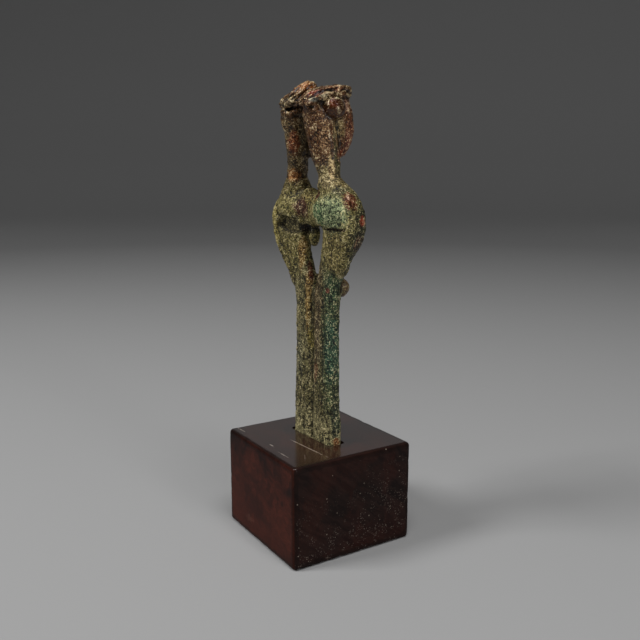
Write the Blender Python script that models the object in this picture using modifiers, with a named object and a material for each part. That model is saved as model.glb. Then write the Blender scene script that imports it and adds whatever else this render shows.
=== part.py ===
"""A small cast bronze idol with two fused legs, wide hips, two necks and twin heads,
set by its foot into a square block of dark hardwood.

The frame: origin at the centre of the block's underside, +Z up. The two heads face
+X, and the idol's broad side runs along Y. The half at -Y is called near and the
half at +Y is called far.
"""
import math

import bmesh
import bpy
from mathutils import Vector

# Driving dimensions, in metres and degrees
MM = 0.001
BLOCK_SIDE = 50.8 * MM
BLOCK_HEIGHT = 38.1 * MM
BLOCK_EDGE_RADIUS = 1.3 * MM
IDOL_HEIGHT = 131.5 * MM        # from the block's top to the crest of the far head
IDOL_TURN = 3.0                 # the idol stands turned by this much on its block
FOOT_DEPTH = 5.0 * MM           # how far the foot goes down into the block
SLOT_CLEARANCE = 0.4 * MM       # between the foot and the slot's walls and floor
CASTING_GRAIN = 0.65 * MM       # size at which the forms melt into one casting
KEPT_FACES = 0.13               # share of the faces that the finished casting keeps

# The idol is a free form, so its pose and carving are shares of its own height.
# The numbers below count steps of one such share, a 131.5th, about a millimetre.
SHARE = IDOL_HEIGHT / 131.5
NEAR_RIM_SINK = 0.9             # the near thigh's rim stands out by this much less
FACES_ROUND = 28
STEPS_BETWEEN = 4

# Each station of a standing form: height, x, y, half depth (x), half width (y), squareness
LEG = [
    (0.0, 0.0, 6.4, 3.2, 6.6, 3.2),
    (7.0, 0.0, 6.3, 3.1, 6.5, 3.0),
    (22.0, 0.0, 6.0, 3.0, 6.2, 2.8),
    (36.0, 0.1, 5.9, 3.0, 6.0, 2.6),
    (48.0, 0.1, 6.0, 3.1, 6.1, 2.5),
    (55.0, 0.2, 6.4, 3.2, 6.3, 2.5),
    (59.0, 0.2, 8.0, 3.2, 6.4, 2.6),
    (63.0, 0.1, 9.9, 3.2, 6.7, 2.8),
    (67.0, -0.1, 11.8, 3.3, 7.3, 2.8),
    (71.0, -0.3, 13.4, 3.5, 7.8, 2.8),
    (75.0, -0.3, 14.5, 3.9, 8.1, 2.8),
    (79.0, 0.1, 14.8, 4.6, 8.2, 2.7),
    (83.0, 0.3, 14.5, 5.2, 8.2, 2.6),
    (87.0, 0.2, 13.8, 5.5, 8.2, 2.5),
    (91.0, -0.4, 12.5, 5.4, 7.5, 2.3),
    (94.0, -1.0, 11.2, 4.9, 6.0, 2.2),
    (96.5, -1.6, 10.4, 4.2, 4.5, 2.1),
]
NECK = [
    (93.0, -1.4, 10.8, 4.0, 4.4, 2.1),
    (97.0, -1.8, 10.3, 3.7, 3.8, 2.1),
    (102.0, -2.2, 9.3, 4.3, 3.9, 2.1),
    (107.0, -3.0, 8.4, 4.6, 4.0, 2.2),
    (113.0, -4.0, 7.7, 4.6, 4.1, 2.3),
    (118.0, -4.9, 7.2, 4.5, 4.2, 2.4),
    (120.0, -5.3, 7.0, 4.6, 4.2, 2.4),
]
NECK_CORE = [
    (118.0, -4.6, 6.8, 3.2, 3.0, 2.3),
    (120.5, -4.8, 6.6, 3.0, 2.8, 2.3),
    (125.0, -4.8, 6.2, 3.2, 3.0, 2.3),
]
FACE = [
    (103.9, 3.9, 7.8, 0.7, 0.7, 2.0),
    (105.0, 4.1, 7.8, 2.0, 1.9, 2.0),
    (107.0, 4.4, 7.9, 3.0, 2.8, 2.1),
    (110.0, 4.9, 8.1, 3.7, 3.4, 2.2),
    (114.0, 5.1, 8.3, 4.0, 3.7, 2.3),
    (118.0, 4.8, 8.1, 4.0, 3.7, 2.3),
    (122.0, 4.3, 7.5, 3.9, 3.6, 2.3),
    (125.0, 3.8, 6.8, 3.8, 3.5, 2.3),
]
CHEEK = [
    (112.0, -1.4, 7.4, 1.0, 1.0, 2.2),
    (116.0, -0.2, 7.6, 3.2, 3.0, 2.3),
    (120.0, -0.2, 7.0, 3.6, 3.2, 2.3),
    (125.0, -0.4, 6.2, 4.2, 3.4, 2.3),
]
HAUNCH = [
    (66.0, 0.7, 12.4, 2.8, 3.0, 2.6),
    (70.0, 1.0, 14.6, 3.6, 3.6, 2.6),
    (74.0, 1.4, 17.0, 4.4, 3.8, 2.6),
    (79.0, 1.6, 18.4, 5.0, 3.8, 2.6),
    (84.0, 1.6, 18.2, 5.1, 3.8, 2.6),
    (89.0, 1.2, 16.4, 4.9, 4.0, 2.6),
    (93.0, 0.4, 13.6, 4.4, 3.8, 2.4),
    (96.0, -0.8, 11.2, 3.4, 3.2, 2.2),
]
# Each station of a cap that runs from back to front: x, y, height, half width, half height
CAP = [
    (-10.9, 6.6, 122.1, 0.9, 0.7),
    (-10.0, 6.5, 122.4, 2.6, 1.3),
    (-7.5, 6.1, 123.6, 4.2, 2.0),
    (-4.0, 5.8, 124.8, 4.8, 2.3),
    (0.0, 5.7, 125.5, 4.9, 2.6),
    (3.5, 5.9, 125.9, 4.7, 2.5),
    (6.0, 6.5, 126.2, 3.8, 2.1),
    (7.8, 7.2, 126.5, 2.7, 1.6),
    (8.8, 7.5, 126.5, 1.1, 0.8),
]
CAP_SQUARENESS = 2.4
FAR_CREST = [
    (-8.4, 5.6, 123.6, 1.8, 1.3),
    (-5.0, 5.0, 126.0, 3.0, 1.9),
    (-2.2, 4.7, 127.7, 3.3, 2.1),
    (0.2, 4.6, 128.1, 3.1, 2.2),
    (2.2, 4.8, 126.8, 2.3, 1.7),
]
STRAND_RADIUS = 1.05
STRAND_PLACES = (-0.66, 0.0, 0.66)
RIM = [
    (90.0, -3.4, 18.8, 1.2, 1.2, 2.0),
    (85.0, -4.4, 20.8, 1.4, 1.3, 2.0),
    (79.0, -4.1, 21.4, 1.4, 1.3, 2.0),
    (73.0, -3.6, 20.2, 1.3, 1.2, 2.0),
    (67.0, -3.0, 17.2, 1.2, 1.1, 2.0),
    (61.0, -1.9, 13.0, 0.8, 0.8, 2.0),
    (57.0, -0.6, 10.4, 0.4, 0.4, 2.0),
]

# Round forms: centre (x, y, height) and half sizes (x, y, height)
BUTTOCK = ((-1.3, 10.9, 86.2), (6.1, 10.3, 7.2))
PELVIS = ((-0.1, 0.0, 86.9), (5.1, 12.0, 6.9))
PELVIS_SQUARENESS = 2.2
LOBE = ((0.4, 2.2, 77.0), (2.1, 2.1, 4.8))
KNEE_KNOB = ((4.4, 7.7, 57.8), (3.7, 3.7, 3.7))
EYE_BALL = ((-0.9, 10.8, 119.8), (4.0, 4.0, 4.0))
EYE_BOSS = ((-1.3, 14.2, 120.0), (1.5, 0.8, 1.5))
BROW_KNOB = ((6.9, 7.6, 126.2), (2.3, 2.5, 2.0))
# The hollow under each buttock, the far one the deeper
FAR_FOLD = ((-5.2, 10.8, 79.8), (4.6, 9.0, 3.4))
NEAR_FOLD = ((-6.2, 16.6, 79.2), (4.4, 4.6, 1.3))

NEAR_FLARE_LIFT = 2.0           # the near thigh leaves the shaft this much higher
FLARE_START = 52.0
FLARE_STOP = 84.0
NECK_SKEW = 0.3                 # how far the necks' sections lean out towards the front
SKEW_START = 97.0
SKEW_FULL = 105.0


def superellipse(half_a, half_b, squareness, count):
    """Points round a section, from an ellipse (2) towards a rounded rectangle (4)."""
    power = 2 / squareness
    points = []
    for step in range(count):
        turn = 2 * math.pi * step / count
        a = math.copysign(abs(math.cos(turn)) ** power, math.cos(turn))
        b = math.copysign(abs(math.sin(turn)) ** power, math.sin(turn))
        points.append((half_a * a, half_b * b))
    return points


def smooth_stations(stations, steps=STEPS_BETWEEN):
    """Stations along one smooth curve through those given."""
    ends = [stations[0]] + list(stations) + [stations[-1]]
    smooth = []
    for before, start, stop, after in zip(ends, ends[1:], ends[2:], ends[3:]):
        for step in range(steps):
            t = step / steps
            smooth.append(tuple(
                0.5 * (2 * b + (c - a) * t + (2 * a - 5 * b + 4 * c - d) * t ** 2
                       + (3 * b - a - 3 * c + d) * t ** 3)
                for a, b, c, d in zip(before, start, stop, after)))
    smooth.append(tuple(stations[-1]))
    return smooth


def loft(bm, rings):
    """A closed body through rings that have as many points each."""
    loops = [[bm.verts.new(Vector(point) * SHARE) for point in ring] for ring in rings]
    count = len(loops[0])
    for low, high in zip(loops, loops[1:]):
        for place in range(count):
            after = (place + 1) % count
            bm.faces.new((low[place], low[after], high[after], high[place]))
    bm.faces.new(list(reversed(loops[0])))
    bm.faces.new(loops[-1])


def ramp(value, start, stop):
    """From 0 at start to 1 at stop, with soft ends."""
    share = min(max((value - start) / (stop - start), 0.0), 1.0)
    return share * share * (3 - 2 * share)


def standing_rings(stations, side, skew=0.0):
    """Level rings for a limb on one side of the idol."""
    rings = []
    for height, x, y, half_x, half_y, squareness in stations:
        section = superellipse(half_x, half_y, squareness, FACES_ROUND)
        lean = skew * ramp(height, SKEW_START, SKEW_FULL)
        rings.append([(x + a, side * (y + b + lean * a), height) for a, b in section])
    return rings


def lifted(stations, side):
    """The leg's stations, with the near thigh's flare raised."""
    if side > 0:
        return stations
    middle = (FLARE_START + FLARE_STOP) / 2
    reach = (FLARE_STOP - FLARE_START) / 2
    raised = []
    for height, *rest in stations:
        share = ramp(abs(height - middle), reach, 0.4 * reach)
        raised.append((height + NEAR_FLARE_LIFT * share, *rest))
    return raised


def sunk(stations, side):
    """The rim's stations, with the near one set deeper into the thigh."""
    if side > 0:
        return stations
    return [(height, x + NEAR_RIM_SINK, *rest) for height, x, *rest in stations]


def lying_rings(stations, side, squareness):
    """Upright rings for a form that runs from back to front."""
    rings = []
    for x, y, height, half_y, half_z in stations:
        section = superellipse(half_y, half_z, squareness, FACES_ROUND)
        rings.append([(x, side * y + a, height + b) for a, b in section])
    return rings


def round_form(bm, form, side, squareness=2.0):
    """A ball or a squarish cushion, from a unit sphere."""
    centre, half = form
    made = bmesh.ops.create_uvsphere(bm, u_segments=FACES_ROUND, v_segments=FACES_ROUND // 2, radius=1)
    for vert in made["verts"]:
        reach = sum(abs(value) ** squareness for value in vert.co) ** (1 / squareness)
        unit = vert.co / reach
        vert.co = Vector((centre[0] + half[0] * unit.x,
                          side * centre[1] + half[1] * unit.y,
                          centre[2] + half[2] * unit.z)) * SHARE


def strand_rings(side, place, stations):
    """A thin lock that follows the top of a cap from back to front."""
    rings = []
    lift = (1 - abs(place) ** CAP_SQUARENESS) ** (1 / CAP_SQUARENESS)
    for x, y, height, half_y, half_z in stations:
        centre_y = side * (y + place * half_y)
        centre_z = height + lift * half_z
        section = superellipse(STRAND_RADIUS, STRAND_RADIUS, 2.0, 8)
        rings.append([(x, centre_y + a, centre_z + b) for a, b in section])
    return rings


def foot_station(height):
    """The leg's own lowest section, at another height."""
    return (height,) + LEG[0][1:]


def collect(name):
    """A new collection in the scene."""
    collection = bpy.data.collections.new(name)
    bpy.context.scene.collection.children.link(collection)
    return collection


def finish(name, bm, collection, material=None):
    """An object from a finished bmesh."""
    bmesh.ops.recalc_face_normals(bm, faces=bm.faces)
    mesh = bpy.data.meshes.new(name)
    bm.to_mesh(mesh)
    bm.free()
    made = bpy.data.objects.new(name, mesh)
    collection.objects.link(made)
    if material:
        mesh.materials.append(material)
    return made


def principled(name, colour, roughness, metallic):
    material = bpy.data.materials.new(name)
    material.use_nodes = True
    shader = material.node_tree.nodes["Principled BSDF"]
    shader.inputs["Base Color"].default_value = (*colour, 1)
    shader.inputs["Roughness"].default_value = roughness
    shader.inputs["Metallic"].default_value = metallic
    return material


def make_cutter(name, bm, collection):
    cutter = finish(name, bm, collection)
    cutter.hide_render = True
    cutter.display_type = "WIRE"
    return cutter


def cut(target, cutter):
    boolean = target.modifiers.new(f"cut by {cutter.name}", "BOOLEAN")
    boolean.operation = "DIFFERENCE"
    boolean.solver = "EXACT"
    boolean.object = cutter


def make_idol(parts, cutters, bronze):
    """Every form of the casting, melted into one body."""
    bm = bmesh.new()
    foot = foot_station(-FOOT_DEPTH / SHARE)
    for side in (-1, 1):
        loft(bm, standing_rings([foot] + smooth_stations(lifted(LEG, side)), side))
        loft(bm, standing_rings(smooth_stations(NECK), side, NECK_SKEW))
        loft(bm, standing_rings(smooth_stations(HAUNCH), side))
        loft(bm, standing_rings(smooth_stations(NECK_CORE), side))
        loft(bm, standing_rings(smooth_stations(FACE), side))
        loft(bm, standing_rings(smooth_stations(CHEEK), side))
        loft(bm, standing_rings(smooth_stations(sunk(RIM, side)), side))
        loft(bm, lying_rings(smooth_stations(CAP), side, CAP_SQUARENESS))
        for place in STRAND_PLACES:
            loft(bm, strand_rings(side, place, smooth_stations(CAP[1:-1])))
        round_form(bm, BUTTOCK, side)
        round_form(bm, KNEE_KNOB, side)
        round_form(bm, EYE_BALL, side)
        round_form(bm, EYE_BOSS, side)
        round_form(bm, BROW_KNOB, side)
    loft(bm, lying_rings(smooth_stations(FAR_CREST), 1, CAP_SQUARENESS))
    for place in STRAND_PLACES:
        loft(bm, strand_rings(1, place, smooth_stations(FAR_CREST)))
    round_form(bm, PELVIS, 1, PELVIS_SQUARENESS)
    round_form(bm, LOBE, 1)
    idol = finish("bronze_idol", bm, parts, bronze)
    idol.location = (0, 0, BLOCK_HEIGHT)
    idol.rotation_euler = (0, 0, math.radians(IDOL_TURN))

    melt = idol.modifiers.new("melt into one casting", "REMESH")
    melt.mode = "VOXEL"
    melt.voxel_size = CASTING_GRAIN
    melt.use_smooth_shade = True
    for name, fold, side in (("far_fold_cutter", FAR_FOLD, 1), ("near_fold_cutter", NEAR_FOLD, -1)):
        hollow = bmesh.new()
        round_form(hollow, fold, side)
        cutter = make_cutter(name, hollow, cutters)
        cutter.location = idol.location
        cutter.rotation_euler = idol.rotation_euler
        cut(idol, cutter)
    ease = idol.modifiers.new("ease the joints", "SMOOTH")
    ease.factor = 0.45
    ease.iterations = 1
    thin = idol.modifiers.new("fewer faces", "DECIMATE")
    thin.ratio = KEPT_FACES
    return idol


def make_block(parts, cutters, wood):
    """The block, with a slot for the foot."""
    bm = bmesh.new()
    bmesh.ops.create_cube(bm, size=1)
    bmesh.ops.scale(bm, verts=bm.verts, vec=(BLOCK_SIDE, BLOCK_SIDE, BLOCK_HEIGHT))
    bmesh.ops.translate(bm, verts=bm.verts, vec=(0, 0, BLOCK_HEIGHT / 2))
    block = finish("wood_block", bm, parts, wood)
    bevel = block.modifiers.new("eased edges", "BEVEL")
    bevel.width = BLOCK_EDGE_RADIUS
    bevel.segments = 3

    slot = bmesh.new()
    depth = (FOOT_DEPTH + SLOT_CLEARANCE) / SHARE
    above = SLOT_CLEARANCE / SHARE
    _, x, y, half_x, half_y, squareness = LEG[0]
    section = superellipse(half_x + above, y + half_y + above, squareness + 1, FACES_ROUND)
    loft(slot, [[(x + a, b, height) for a, b in section] for height in (-depth, depth)])
    cutter = make_cutter("foot_slot_cutter", slot, cutters)
    cutter.location = (0, 0, BLOCK_HEIGHT)
    cutter.rotation_euler = (0, 0, math.radians(IDOL_TURN))
    cut(block, cutter)
    return block


def main():
    for old in list(bpy.data.objects):
        bpy.data.objects.remove(old, do_unlink=True)
    parts = collect("bronze_idol_on_block")
    cutters = collect("cutters")
    bronze = principled("patinated_bronze", (0.16, 0.15, 0.08), 0.55, 0.6)
    wood = principled("dark_hardwood", (0.06, 0.02, 0.015), 0.3, 0.0)
    make_idol(parts, cutters, bronze)
    make_block(parts, cutters, wood)


main()
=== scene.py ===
# %% [markdown]
# # A small bronze idol on a wooden block
# The real object is one lean casting, green and brown with age, let into a lacquered hardwood block.
# The CAD solids already give every piece its place and size, so this notebook loads them as a fixed
# frame and only dresses them. A solid's box is measured where a piece is built from it, and the
# idol's new skin is held to its solid's height.

# %% Load the frame
import math

import bmesh
import bpy
import numpy as np
from mathutils import Matrix, Vector, noise


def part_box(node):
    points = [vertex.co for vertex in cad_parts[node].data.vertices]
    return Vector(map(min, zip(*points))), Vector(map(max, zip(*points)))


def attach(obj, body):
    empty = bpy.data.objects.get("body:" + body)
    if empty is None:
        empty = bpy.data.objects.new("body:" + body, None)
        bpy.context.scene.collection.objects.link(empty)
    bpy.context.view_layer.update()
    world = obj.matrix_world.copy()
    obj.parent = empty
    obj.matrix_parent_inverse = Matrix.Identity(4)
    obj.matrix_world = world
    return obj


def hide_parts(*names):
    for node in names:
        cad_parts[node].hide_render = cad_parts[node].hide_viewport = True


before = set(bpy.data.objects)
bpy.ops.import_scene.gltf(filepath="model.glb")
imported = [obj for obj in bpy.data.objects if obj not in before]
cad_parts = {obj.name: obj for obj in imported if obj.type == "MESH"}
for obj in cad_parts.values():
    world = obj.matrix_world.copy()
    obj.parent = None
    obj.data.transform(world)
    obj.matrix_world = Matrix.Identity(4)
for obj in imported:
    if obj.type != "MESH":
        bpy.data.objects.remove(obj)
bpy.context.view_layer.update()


# %% [markdown]
# ## The camera
# The block has seven corners in view, and together they fix one camera: a normal lens about 28 cm
# away, turned some 32 degrees round the block and looking a little down. It could be set by eye, but
# a camera worked out from corners also gives the right convergence on the block's sides.

# %% Place the camera
CAMERA_PLACE = (-0.147574, -0.235458, 0.136042)
CAMERA_DOWN = math.radians(10.79)
CAMERA_TURN = math.radians(-32.29)
CAMERA_LENS = 42.6

camera_data = bpy.data.cameras.new("studio_camera")
camera_data.lens = CAMERA_LENS
camera_data.sensor_width = 36.0
camera = bpy.data.objects.new("studio_camera", camera_data)
camera.location = CAMERA_PLACE
camera.rotation_euler = (math.pi / 2 - CAMERA_DOWN, 0.0, CAMERA_TURN)
bpy.context.scene.collection.objects.link(camera)
bpy.context.scene.camera = camera
print("camera lens", CAMERA_LENS, "mm at", CAMERA_PLACE)

# %% [markdown]
# ## Floor and soft light
# A studio table has a pale sweep that curves up behind the object, so no horizon shows. Here the
# sweep is a shallow bowl, spun from one profile, so that it looks the same from every side. Large
# area lights stand in for softboxes: big sources give the metal broad, quiet highlights.

# %% Spin the sweep
SWEEP_PROFILE = ((0.0, 0.0), (1.3, 0.0), (1.75, 0.04), (2.1, 0.19), (2.35, 0.5), (2.46, 0.95), (2.5, 1.5))
SWEEP_STEPS = 96


def piece_from(bm, name):
    """Turns a bmesh into a piece whose object is at the origin."""
    mesh = bpy.data.meshes.new(name)
    bm.to_mesh(mesh)
    bm.free()
    piece = bpy.data.objects.new(name, mesh)
    bpy.context.scene.collection.objects.link(piece)
    return piece


sweep = bmesh.new()
profile = [sweep.verts.new((reach, 0.0, height)) for reach, height in SWEEP_PROFILE]
profile_edges = [sweep.edges.new(pair) for pair in zip(profile, profile[1:])]
bmesh.ops.spin(sweep, geom=profile + profile_edges, axis=(0, 0, 1), cent=(0, 0, 0),
               angle=math.tau, steps=SWEEP_STEPS, use_merge=True)
bmesh.ops.remove_doubles(sweep, verts=sweep.verts, dist=1e-5)
bmesh.ops.recalc_face_normals(sweep, faces=sweep.faces)
if sum(face.normal.z for face in sweep.faces) < 0:
    bmesh.ops.reverse_faces(sweep, faces=sweep.faces)
floor = piece_from(sweep, "studio_sweep")
floor.data.shade_smooth()
print("sweep:", len(floor.data.polygons), "faces")

# %% [markdown]
# ## Small helpers for materials
# Every material here is a tree of nodes. Short helpers keep the trees readable: one adds a node and
# fills its inputs by name, one starts a node group with named inputs and outputs, and the others do
# a sum, map a range, draw a noise or lay one colour over another.

# %% Helpers for nodes
def add(tree, kind, inputs=None, **settings):
    """Adds one node. Settings are its options, inputs are numbers, colours or other nodes' sockets."""
    made = tree.nodes.new(kind)
    for name, value in settings.items():
        setattr(made, name, value)
    for name, value in (inputs or {}).items():
        socket = made.inputs[name]
        if isinstance(value, bpy.types.NodeSocket):
            tree.links.new(value, socket)
        else:
            socket.default_value = value
    return made


def new_group(name, takes, gives):
    """Starts a shader group. Both lists hold pairs of a socket's name and its kind."""
    tree = bpy.data.node_groups.new(name, "ShaderNodeTree")
    for direction, sockets in (("INPUT", takes), ("OUTPUT", gives)):
        for socket_name, kind in sockets:
            tree.interface.new_socket(socket_name, in_out=direction, socket_type="NodeSocket" + kind)
    return tree, tree.nodes.new("NodeGroupInput").outputs, tree.nodes.new("NodeGroupOutput").inputs


def math_node(tree, operation, first, second=0.0, third=0.0, clamp=False):
    """One sum on two or three values."""
    return add(tree, "ShaderNodeMath", {0: first, 1: second, 2: third}, operation=operation,
               use_clamp=clamp).outputs[0]


def times(tree, first, second):
    """The product of two values."""
    return math_node(tree, "MULTIPLY", first, second)


def off_middle(tree, value, middle=0.5):
    """How far a value is above its middle, so that it can push both ways."""
    return math_node(tree, "SUBTRACT", value, middle)


def cloud(tree, place, scale, detail=2.0, roughness=0.5):
    """A soft noise from 0 to 1, with so many features in each unit of the place."""
    return add(tree, "ShaderNodeTexNoise",
               {"Vector": place, "Scale": scale, "Detail": detail, "Roughness": roughness}).outputs[0]


def fit(tree, value, low, high, to_low=0.0, to_high=1.0):
    """Smoothly maps a range of values to another one."""
    return add(tree, "ShaderNodeMapRange",
               {"Value": value, "From Min": low, "From Max": high, "To Min": to_low, "To Max": to_high},
               interpolation_type="SMOOTHSTEP").outputs["Result"]


def mix(tree, share, under, over, blend="MIX"):
    """Lays one colour over another."""
    made = add(tree, "ShaderNodeMix", {0: share, 6: under, 7: over}, data_type="RGBA", blend_type=blend)
    return made.outputs[2]


print("helpers ready")

# %% [markdown]
# ## Floor finish and lamps
# The sweep is matt pale grey paint. Its brightness falls off behind the object because the softboxes
# stand near it, and that fall-off makes the quiet gradient of a studio picture.

# %% Paint the sweep
def plain_colour(red, green, blue):
    """Screen colours of 0 to 255 turned into the linear colours that shaders use."""
    def linear(value):
        value /= 255
        return value / 12.92 if value <= 0.04045 else ((value + 0.055) / 1.055) ** 2.4
    return (linear(red), linear(green), linear(blue), 1.0)


SWEEP_GREY = (170, 170, 170)

sweep_paint = bpy.data.materials.new("sweep_paint")
sweep_paint.use_nodes = True
sweep_shader = sweep_paint.node_tree.nodes["Principled BSDF"]
sweep_shader.inputs["Base Color"].default_value = plain_colour(*SWEEP_GREY)
sweep_shader.inputs["Roughness"].default_value = 0.9
sweep_shader.inputs["Specular IOR Level"].default_value = 0.1
floor.data.materials.append(sweep_paint)
print("sweep painted")

# %% Hang the softboxes
AIM = Vector((0.0, 0.0, 0.09))
TO_CAMERA = Vector((-0.531, -0.847, 0.0))
TO_RIGHT = Vector((0.845, -0.534, 0.0))
UP = Vector((0.0, 0.0, 1.0))
SOFTBOXES = (  # name, metres to the right, before and above, width, height, watts
    ("left_softbox", -0.75, 0.2, 0.75, 0.32, 0.32, 6.0),
    ("top_softbox", 0.1, 0.45, 1.0, 0.6, 0.5, 6.5),
    ("right_softbox", 0.62, 0.8, 0.2, 0.16, 0.6, 2.6),
    ("back_card", 0.0, -1.3, 0.5, 1.7, 0.42, 0.34),
)
AIR_GREY = (0.5, 0.5, 0.5, 1.0)
AIR_STRENGTH = 0.09


def softbox(name, right, forward, up, width, height, watts):
    """A rectangular area light aimed at the idol, placed in metres right of, before and above it."""
    light = bpy.data.lights.new(name, "AREA")
    light.shape = "RECTANGLE"
    light.size = width
    light.size_y = height
    light.energy = watts
    lamp = bpy.data.objects.new(name, light)
    lamp.location = AIM + TO_RIGHT * right + TO_CAMERA * forward + UP * up
    lamp.rotation_euler = (AIM - lamp.location).to_track_quat("-Z", "Y").to_euler()
    bpy.context.scene.collection.objects.link(lamp)
    return lamp


lamps = {row[0]: softbox(*row) for row in SOFTBOXES}
lamps["back_card"].visible_camera = False
world = bpy.data.worlds.new("studio_air")
world.use_nodes = True
world.node_tree.nodes["Background"].inputs["Color"].default_value = AIR_GREY
world.node_tree.nodes["Background"].inputs["Strength"].default_value = AIR_STRENGTH
bpy.context.scene.world = world
bpy.context.scene.view_settings.view_transform = "Standard"
print("softboxes:", sorted(lamps))

# %% [markdown]
# ## The casting's own frame
# The idol stands on the block turned a few degrees, so places on it are easiest to give in its own
# frame: millimetres to the front, to the far side and up from the block's top. One matrix brings
# such a place to the shared frame.

# %% Idol frame
MM = 0.001
IDOL_TURN = math.radians(3.0)
block_low, block_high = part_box("wood_block")
IDOL_FRAME = (Matrix.Translation((0, 0, block_high.z)) @ Matrix.Rotation(IDOL_TURN, 4, "Z")
              @ Matrix.Scale(MM, 4))


def on_idol(front, side, height):
    """A place on the idol in its own millimetres, brought to the shared frame in metres."""
    return IDOL_FRAME @ Vector((front, side, height))


# %% [markdown]
# ## The bronze body
# The real figure is one pour of metal. Its solid already has the right outline, so the piece starts
# as a copy of it. The copy's loose triangles are merged, and a voxel remesh then gives an even skin
# of small faces that can take carving. Sculpting by hand would do the same, but not repeatably.

# %% Copy the casting
def tube(name, points, radii):
    """A closed round bar through places on the idol, with its own radius in millimetres at each."""
    curve = bpy.data.curves.new(name, "CURVE")
    curve.dimensions = "3D"
    curve.bevel_depth = MM
    curve.bevel_resolution = 2
    curve.resolution_u = 6
    curve.use_fill_caps = True
    spline = curve.splines.new("NURBS")
    spline.points.add(len(points) - 1)
    for point, spot, radius in zip(spline.points, points, radii):
        point.co = (*on_idol(*spot), 1.0)
        point.radius = radius
    spline.use_endpoint_u = True
    spline.order_u = 3
    holder = bpy.data.objects.new(name, curve)
    bpy.context.scene.collection.objects.link(holder)
    bpy.context.view_layer.update()
    made = bpy.data.meshes.new_from_object(holder.evaluated_get(bpy.context.evaluated_depsgraph_get()))
    bpy.data.objects.remove(holder)
    bpy.data.curves.remove(curve)
    return made


casting = bmesh.new()
casting.from_mesh(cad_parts["bronze_idol"].data)
bmesh.ops.remove_doubles(casting, verts=casting.verts, dist=1e-6)
print("merged casting:", len(casting.verts), "points")

# %% [markdown]
# ## Locks on the caps
# Each head wears a flat cap of hair, cast as strands that run from the back to the brow. Carved
# grooves would be too shallow to catch light, so every strand is a thin tapered bar laid on the
# cap's oval section. The bars fan round the section, and sink halfway into it before the remesh.

# %% Lay the locks
CAP_SECTIONS = (  # front, side, height, half width, half height
    (-10.3, 6.5, 122.3, 2.2, 1.1), (-7.5, 6.1, 123.6, 4.2, 2.0), (-4.0, 5.8, 124.8, 4.8, 2.3),
    (0.0, 5.7, 125.5, 4.9, 2.6), (3.5, 5.9, 125.9, 4.7, 2.5), (6.0, 6.5, 126.2, 3.8, 2.1))
CREST_SECTIONS = (
    (-9.6, 5.4, 122.4, 1.9, 1.2), (-8.0, 5.6, 124.2, 2.1, 1.5), (-5.0, 5.0, 126.0, 3.0, 1.9),
    (-2.2, 4.7, 127.6, 3.2, 2.0), (0.2, 4.6, 127.9, 3.0, 2.1), (2.0, 4.8, 126.9, 2.4, 1.7))
LOCK_ANGLES = (-30, -2, 26, 54, 82, 110, 138, 166, 194)
LOCK_RADIUS = 0.85
LOCK_RISE = 0.1


def lay_locks(bm, label, sections, side, angles, drift):
    """Fans tapered bars round a row of oval sections. Side is 1 for the far half, -1 for the near one."""
    for count, angle in enumerate(angles):
        points = []
        radii = []
        for step, (front, across, height, half_width, half_height) in enumerate(sections):
            turn = math.radians(angle + drift * math.sin(1.7 * count + 1.1 * step))
            points.append((front, side * across - side * (half_width + LOCK_RISE) * math.cos(turn),
                           height + (half_height + LOCK_RISE) * math.sin(turn)))
            taper = math.sin(math.pi * (step + 0.6) / (len(sections) + 0.2))
            radii.append(LOCK_RADIUS * (0.55 + 0.45 * taper))
        bm.from_mesh(tube(f"{label}_{count}", points, radii))


lay_locks(casting, "near_lock", CAP_SECTIONS, -1, LOCK_ANGLES, 7)
lay_locks(casting, "far_lock", CAP_SECTIONS, 1, LOCK_ANGLES, 7)
lay_locks(casting, "crest_lock", CREST_SECTIONS, 1, LOCK_ANGLES[1:-1], 9)
print("locks laid:", 3 * len(LOCK_ANGLES) - 2)

# %% [markdown]
# ## One skin over everything
# A voxel remesh melts the copy and the locks into one closed skin, much as wax joins before it is
# cast. The skin's faces are finer than the carving that follows, and a short smoothing takes the
# steps of the voxels away.

# %% Skin the casting
SKIN_GRAIN = 0.3 * MM

idol = piece_from(casting, "idol_body")


def settle(piece):
    """Turns what a piece's modifiers show into its own mesh."""
    bpy.context.view_layer.update()
    made = bpy.data.meshes.new_from_object(piece.evaluated_get(bpy.context.evaluated_depsgraph_get()))
    piece.modifiers.clear()
    piece.data = made
    return made


skin = idol.modifiers.new("even_skin", "REMESH")
skin.mode = "VOXEL"
skin.voxel_size = SKIN_GRAIN
rounded = idol.modifiers.new("rounded", "SMOOTH")
rounded.factor = 0.5
rounded.iterations = 1
idol_mesh = settle(idol)
print("idol skin:", len(idol_mesh.polygons), "faces")

# %% [markdown]
# ## Carving along lines
# Grooves, ridges and folds are cut the way a burin would: each follows a line of places on the skin
# and moves the points near it in or out. The arrays hold every point at once, so a cut costs one
# distance to a line, and a bell curve gives it soft shoulders.

# %% The skin as arrays
def point_arrays(mesh):
    """The places of a mesh's points and their directions outwards, a row for each point."""
    places = np.empty(len(mesh.vertices) * 3)
    mesh.vertices.foreach_get("co", places)
    directions = np.empty(len(mesh.vertices) * 3)
    mesh.vertex_normals.foreach_get("vector", directions)
    return places.reshape(-1, 3), directions.reshape(-1, 3)


skin_places, skin_directions = point_arrays(idol_mesh)
to_idol = np.array(IDOL_FRAME.inverted())
skin_places = skin_places @ to_idol[:3, :3].T + to_idol[:3, 3]
skin_directions = skin_directions @ (to_idol[:3, :3] / np.linalg.norm(to_idol[0, :3])).T
print("skin points:", len(skin_places))

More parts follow.
